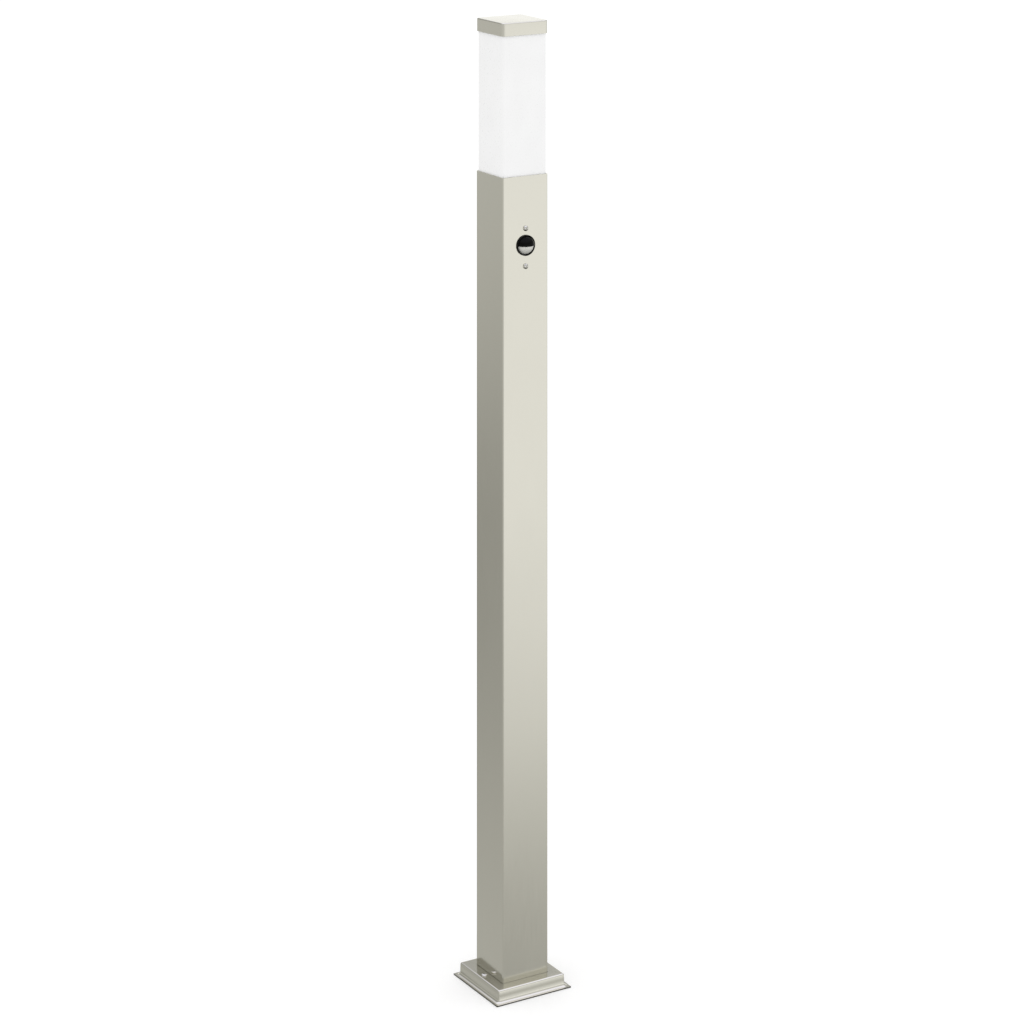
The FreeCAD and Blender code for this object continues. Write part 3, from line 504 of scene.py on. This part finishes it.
def screw_tree():
    """A domed head with a cross recess, over a shank with a right-hand thread."""
    tree = Tree("pan_screw", {
        "Shank radius": 2.0 * MM, "Length": 10.0 * MM, "Head radius": 3.5 * MM, "Head side": 0.6 * MM,
        "Head dome": 1.8 * MM, "Pitch": 0.7 * MM, "Thread depth": 0.35 * MM, "Recess half": 0.45 * MM,
        "Recess reach": 2.1 * MM, "Recess depth": 1.4 * MM, "Spin": 0.0, "Rows": 90, "Round steps": 37})
    given = tree.given
    root = tree.math("SUBTRACT", given["Shank radius"], given["Thread depth"])

    def head(turn, along):
        bend = tree.stage(along, 0.0, 0.5, 0.5 * math.pi)
        dome = tree.math("MULTIPLY", given["Head radius"], tree.math("POWER", tree.math("SINE", bend), 0.8))
        inward = tree.stage(along, 0.75, 1.0, tree.math("SUBTRACT", given["Head radius"], root))
        top = tree.math("MULTIPLY", given["Head dome"], tree.math("COSINE", bend))
        side = tree.math("SUBTRACT", given["Head side"], tree.stage(along, 0.5, 0.75, given["Head side"]))
        return tree.math("SUBTRACT", dome, inward), tree.math("ADD", top, side)

    def shank(turn, along):
        height = tree.stage(along, 0.0, 0.96, tree.math("MULTIPLY", given["Length"], -1.0))
        phase = tree.math("ADD", tree.math("DIVIDE", height, given["Pitch"]), turn)
        ridge = tree.math("MULTIPLY", tree.math("PINGPONG", phase, 0.5), 2.0)
        fade_in = tree.scale(along, 0.0, 1.0, 0.0, 0.06)
        fade = tree.math("MULTIPLY", fade_in, tree.scale(along, 1.0, 0.0, 0.88, 0.96))
        ridge = tree.math("MULTIPLY", tree.math("MULTIPLY", ridge, fade), given["Thread depth"])
        radius = tree.math("SUBTRACT", tree.math("ADD", root, ridge), tree.stage(along, 0.96, 1.0, root))
        return radius, height

    screw = tree.welded(tree.turned(17, given["Round steps"], head),
                        tree.turned(given["Rows"], given["Round steps"], shank))
    top = tree.math("ADD", given["Head side"], given["Head dome"])
    depth = tree.math("MULTIPLY", given["Recess depth"], 2.0)
    long_side = tree.math("MULTIPLY", given["Recess reach"], 2.0)
    short_side = tree.math("MULTIPLY", given["Recess half"], 2.0)
    spin = tree.add("ShaderNodeCombineXYZ", {"Z": given["Spin"]}).outputs[0]
    place = tree.add("ShaderNodeCombineXYZ", {"Z": top}).outputs[0]
    bite = tree.add("GeometryNodeMeshBoolean", {"Mesh 1": screw}, operation="DIFFERENCE", solver="EXACT")
    for wide, deep in ((long_side, short_side), (short_side, long_side)):
        size = tree.add("ShaderNodeCombineXYZ", {"X": wide, "Y": deep, "Z": depth}).outputs[0]
        arm = tree.add("GeometryNodeMeshCube", {"Size": size}).outputs["Mesh"]
        arm = tree.add("GeometryNodeTransform", {"Geometry": arm, "Translation": place, "Rotation": spin})
        tree.tree.links.new(arm.outputs[0], bite.inputs["Mesh 2"])
    return tree.finish(bite.outputs["Mesh"])


def threaded_sheet_tree():
    """A thin metal tube pressed into a round screw thread, with a bevelled floor when it has one."""
    tree = Tree("threaded_sheet", {
        "Radius": 13.2 * MM, "Wall": 0.35 * MM, "Thread depth": 0.7 * MM, "Pitch": 3.62 * MM,
        "Length": 22.0 * MM, "Bevel": 1.5 * MM, "Hole radius": 6.0 * MM, "Rows": 170, "Round steps": 73})
    given = tree.given
    foot = tree.math("SUBTRACT", given["Radius"], given["Bevel"])
    floor = tree.math("SUBTRACT", foot, given["Hole radius"])
    rise = tree.math("SUBTRACT", given["Length"], given["Bevel"])

    def outline(turn, along):
        wall, bevel = given["Wall"], given["Bevel"]
        out = tree.math("ADD", tree.stage(along, 0.0, 0.04, floor), tree.stage(along, 0.04, 0.06, bevel))
        back = tree.math("ADD", tree.stage(along, 0.94, 0.96, bevel), tree.stage(along, 0.96, 0.99, floor))
        walled = tree.math("SUBTRACT", tree.stage(along, 0.50, 0.51, wall),
                           tree.stage(along, 0.93, 0.96, wall))
        reach = tree.math("ADD", given["Hole radius"], out)
        radius = tree.math("SUBTRACT", reach, tree.math("ADD", back, walled))
        up = tree.math("ADD", tree.stage(along, 0.04, 0.06, bevel), tree.stage(along, 0.06, 0.50, rise))
        down = tree.math("ADD", tree.stage(along, 0.51, 0.94, rise), tree.stage(along, 0.94, 0.96, bevel))
        lift = tree.math("SUBTRACT", tree.stage(along, 0.94, 0.96, wall), tree.stage(along, 0.99, 1.0, wall))
        height = tree.math("ADD", tree.math("SUBTRACT", up, down), lift)
        phase = tree.math("ADD", tree.math("DIVIDE", height, given["Pitch"]), turn)
        swing = tree.math("COSINE", tree.math("MULTIPLY", phase, 2.0 * math.pi))
        wave = tree.math("MULTIPLY_ADD", swing, -0.5, 0.5)
        share = tree.math("DIVIDE", height, given["Length"])
        fade_in = tree.scale(share, 0.0, 1.0, 0.09, 0.20)
        fade = tree.math("MULTIPLY", fade_in, tree.scale(share, 1.0, 0.0, 0.86, 0.96))
        wave = tree.math("MULTIPLY", tree.math("MULTIPLY", wave, fade), given["Thread depth"])
        return tree.math("SUBTRACT", radius, wave), height

    return tree.finish(tree.welded(tree.turned(given["Rows"], given["Round steps"], outline)))


def faceted_dome_tree():
    """A dome shell whose outside is divided into rows of small bulging lenses."""
    tree = Tree("faceted_dome", {
        "Base radius": 9.9 * MM, "Rise": 8.3 * MM, "Wall": 1.0 * MM, "Facet depth": 0.32 * MM,
        "Facets round": 16, "Facet rows": 5, "Rows": 49, "Round steps": 97})
    given = tree.given
    base, rise = given["Base radius"], given["Rise"]
    squares = tree.math("ADD", tree.math("MULTIPLY", base, base), tree.math("MULTIPLY", rise, rise))
    ball = tree.math("DIVIDE", squares, tree.math("MULTIPLY", rise, 2.0))
    drop = tree.math("SUBTRACT", ball, rise)
    spread_angle = tree.math("ARCCOSINE", tree.math("DIVIDE", drop, ball))

    def outline(turn, along):
        outer = tree.scale(along, 0.0, 1.0, 0.0, 0.75)
        inner = tree.scale(along, 0.0, 1.0, 0.775, 1.0)
        tilt = tree.math("MULTIPLY", tree.math("SUBTRACT", outer, inner), spread_angle)
        row = tree.math("MULTIPLY", outer, given["Facet rows"])
        across = tree.math("ABSOLUTE", tree.math("SINE", tree.math("MULTIPLY", row, math.pi)))
        cell = tree.math("MULTIPLY", turn, given["Facets round"])
        beside = tree.math("ABSOLUTE", tree.math("SINE", tree.math("MULTIPLY", cell, math.pi)))
        middle = tree.math("LESS_THAN", row, 1.0)
        beside = tree.math("MAXIMUM", beside, middle)
        across = tree.math("MAXIMUM", across, tree.math("LESS_THAN", row, 0.5))
        bulge = tree.math("POWER", tree.math("MULTIPLY", across, beside), 0.5)
        groove = tree.math("MULTIPLY", tree.math("SUBTRACT", 1.0, bulge), given["Facet depth"])
        groove = tree.math("MULTIPLY", groove, tree.math("LESS_THAN", outer, 0.999))
        sunk = tree.math("ADD", groove, tree.stage(along, 0.75, 0.775, given["Wall"]))
        reach = tree.math("SUBTRACT", ball, sunk)
        radius = tree.math("MULTIPLY", reach, tree.math("SINE", tilt))
        height = tree.math("SUBTRACT", tree.math("MULTIPLY", reach, tree.math("COSINE", tilt)), drop)
        return radius, tree.math("MAXIMUM", height, 0.0)

    return tree.finish(tree.welded(tree.turned(given["Rows"], given["Round steps"], outline)))


def grown(tree, finish, sizes, seats):
    """The plain mesh a tree makes with these sizes: one copy on each seat, a pair of place and heading."""
    mesh = bpy.data.meshes.new("seats")
    mesh.from_pydata([tuple(place) for place, _ in seats], [], [])
    marks = mesh.attributes.new("heading", "FLOAT_VECTOR", "POINT")
    for mark, (_, heading) in zip(marks.data, seats):
        mark.vector = heading
    carrier = bpy.data.objects.new("carrier", mesh)
    bpy.context.scene.collection.objects.link(carrier)
    modifier = carrier.modifiers.new("made", "NODES")
    modifier.node_group = tree.tree
    given = dict(sizes, Finish=finish)
    for item in tree.tree.interface.items_tree:
        if item.in_out == "INPUT" and item.name in given:
            modifier[item.identifier] = given[item.name]
    bpy.context.view_layer.update()
    ready = carrier.evaluated_get(bpy.context.evaluated_depsgraph_get())
    made = bpy.data.meshes.new_from_object(ready)
    bpy.data.objects.remove(carrier)
    return smoothed(made)


# Pieces


def smoothed(mesh):
    for face in mesh.polygons:
        face.use_smooth = True
    mesh.set_sharp_from_angle(angle=math.radians(CREASE))
    return mesh


def own_piece(node, mesh, finishes):
    """A piece that stands for a part: it rides on that part's body and takes its slot."""
    piece = bpy.data.objects.new(node + "_finished", mesh)
    bpy.context.scene.collection.objects.link(piece)
    mesh.materials.clear()
    mesh.materials.append(finishes[slot_of[node]])
    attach(piece, body_of[node])
    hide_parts(node)
    return piece


def joined_copy(node):
    """A part's surface with its facets joined, and flat regions made one face."""
    source = parts[node].data
    mesh = bpy.data.meshes.new(node + "_finished")
    mesh.from_pydata([v.co for v in source.vertices], [], [tuple(p.vertices) for p in source.polygons])
    work = bmesh.new()
    work.from_mesh(mesh)
    bmesh.ops.remove_doubles(work, verts=work.verts, dist=POINTS_MEET)
    flat = math.radians(FLAT_WITHIN)
    bmesh.ops.dissolve_limit(work, angle_limit=flat, verts=work.verts, edges=work.edges)
    work.to_mesh(mesh)
    work.free()
    return mesh


def break_edges(piece, node):
    """A small bevel along each sharp edge."""
    bevel = piece.modifiers.new("edge_break", "BEVEL")
    bevel.width = EDGE_BREAKS[node] * MM
    bevel.segments = 2
    bevel.limit_method = "ANGLE"
    bevel.angle_limit = math.radians(CREASE)
    bevel.harden_normals = True


def finished_part(node, finishes):
    """A part as the CAD has it, with its curves smooth and its sharp edges broken."""
    piece = own_piece(node, smoothed(joined_copy(node)), finishes)
    if node in EDGE_BREAKS:
        break_edges(piece, node)


def solid_boxes(node):
    """The box of each solid of a part, as (low corner, high corner)."""
    work = bmesh.new()
    work.from_mesh(joined_copy(node))
    left = set(work.verts)
    boxes = []
    while left:
        group, waiting = set(), [left.pop()]
        while waiting:
            vertex = waiting.pop()
            group.add(vertex)
            near = {edge.other_vert(vertex) for edge in vertex.link_edges} & left
            left -= near
            waiting.extend(near)
        places = [vertex.co for vertex in group]
        low = Vector([min(place[way] for place in places) for way in range(3)])
        high = Vector([max(place[way] for place in places) for way in range(3)])
        boxes.append((low, high))
    work.free()
    return sorted(boxes, key=lambda pair: tuple(pair[0]))


def screws(node, tree, finishes):
    """Threaded screws in place of a part's plain ones, on the same seats."""
    size, way, low_head, spin = SCREWS[node]
    shank, head_r, head_high, pitch, depth = SCREW_SIZES[size]
    seats, length = [], 0.0
    for low, high in solid_boxes(node):
        middle = (low + high) / 2
        heading = Vector(way)
        if node in BOTH_WAYS and middle.dot(heading) < 0:
            heading.negate()
        half = (high - low).dot(Vector([abs(part) for part in heading])) / 2
        seats.append((middle + heading * (half - head_high * MM), heading))
        length = 2 * half - head_high * MM
    shown = head_high * low_head
    sizes = {
        "Shank radius": shank * MM, "Length": length, "Head radius": head_r * MM,
        "Head side": 0.28 * shown * MM, "Head dome": 0.72 * shown * MM, "Pitch": pitch * MM,
        "Thread depth": depth * MM, "Recess half": 0.42 * MM, "Recess reach": 0.6 * head_r * MM,
        "Recess depth": 0.6 * shown * MM, "Spin": math.radians(spin),
        "Rows": int(THREAD_ROWS + THREAD_ROWS * length / (pitch * MM))}
    own_piece(node, grown(tree, finishes[slot_of[node]], sizes, seats), finishes)


def threaded_sheet(node, tree, finishes, sizes):
    """A thin threaded tube in place of a part's plain one, with its radius, length and foot."""
    low, high = solid_boxes(node)[0]
    given = dict(sizes, **{"Radius": (high.x - low.x) / 2, "Length": high.z - low.z})
    seats = [((0.0, 0.0, low.z), UP)]
    own_piece(node, grown(tree, finishes[slot_of[node]], given, seats), finishes)


def lens(tree, finishes):
    """The sensor's faceted lens, which bulges forwards from the back of the part it stands for."""
    low, high = solid_boxes("sensor_lens")[0]
    seat = ((low.x + high.x) / 2, high.y, (low.z + high.z) / 2)
    sizes = {"Base radius": (high.x - low.x) / 2, "Rise": high.y - low.y}
    mesh = grown(tree, finishes[slot_of["sensor_lens"]], sizes, [(seat, FORWARD)])
    own_piece("sensor_lens", mesh, finishes)


def pressed_cover(finishes):
    """The foot cover, whose wall leans in a little towards its top, as pressed sheet does."""
    mesh = joined_copy("base_cover")
    work = bmesh.new()
    work.from_mesh(mesh)
    low, high = WALL_FOOT, WALL_TOP
    for step in range(WALL_STEPS + 1):
        level = low + (high - low) * step / WALL_STEPS
        everything = work.verts[:] + work.edges[:] + work.faces[:]
        bmesh.ops.bisect_plane(work, geom=everything, dist=CUTS_MEET,
                               plane_co=(0.0, 0.0, level), plane_no=UP)
    flat = WALL_HALF - WALL_CORNER
    for vertex in work.verts:
        share = min((vertex.co.z - low) / (high - low), 1.0)
        out = Vector((max(abs(vertex.co.x) - flat, 0.0), max(abs(vertex.co.y) - flat, 0.0), 0.0))
        if share > 0.0 and out.length > WALL_NEAR:
            way = Vector((math.copysign(out.x, vertex.co.x), math.copysign(out.y, vertex.co.y), 0.0))
            bow = 0.5 * math.sin(2.0 * math.pi * share) / (2.0 * math.pi)
            vertex.co -= way.normalized() * WALL_LEAN * (share + bow)
    work.to_mesh(mesh)
    work.free()
    piece = own_piece("base_cover", smoothed(mesh), finishes)
    break_edges(piece, "base_cover")


make_camera()
make_floor()
make_studio()
finishes = make_finishes()
screw = screw_tree()
threaded = threaded_sheet_tree()
for node in SCREWS:
    screws(node, screw, finishes)
threaded_sheet("bulb_screw_cap", threaded, finishes, {})
threaded_sheet("holder_sleeve", threaded, finishes, {
    "Wall": 0.25 * MM, "Thread depth": 0.35 * MM, "Bevel": 0.0, "Hole radius": 13.85 * MM})
lens(faceted_dome_tree(), finishes)
pressed_cover(finishes)
own_shapes = set(SCREWS) | {"bulb_screw_cap", "holder_sleeve", "sensor_lens", "base_cover"}
for node in sorted(set(parts) - own_shapes):
    finished_part(node, finishes)
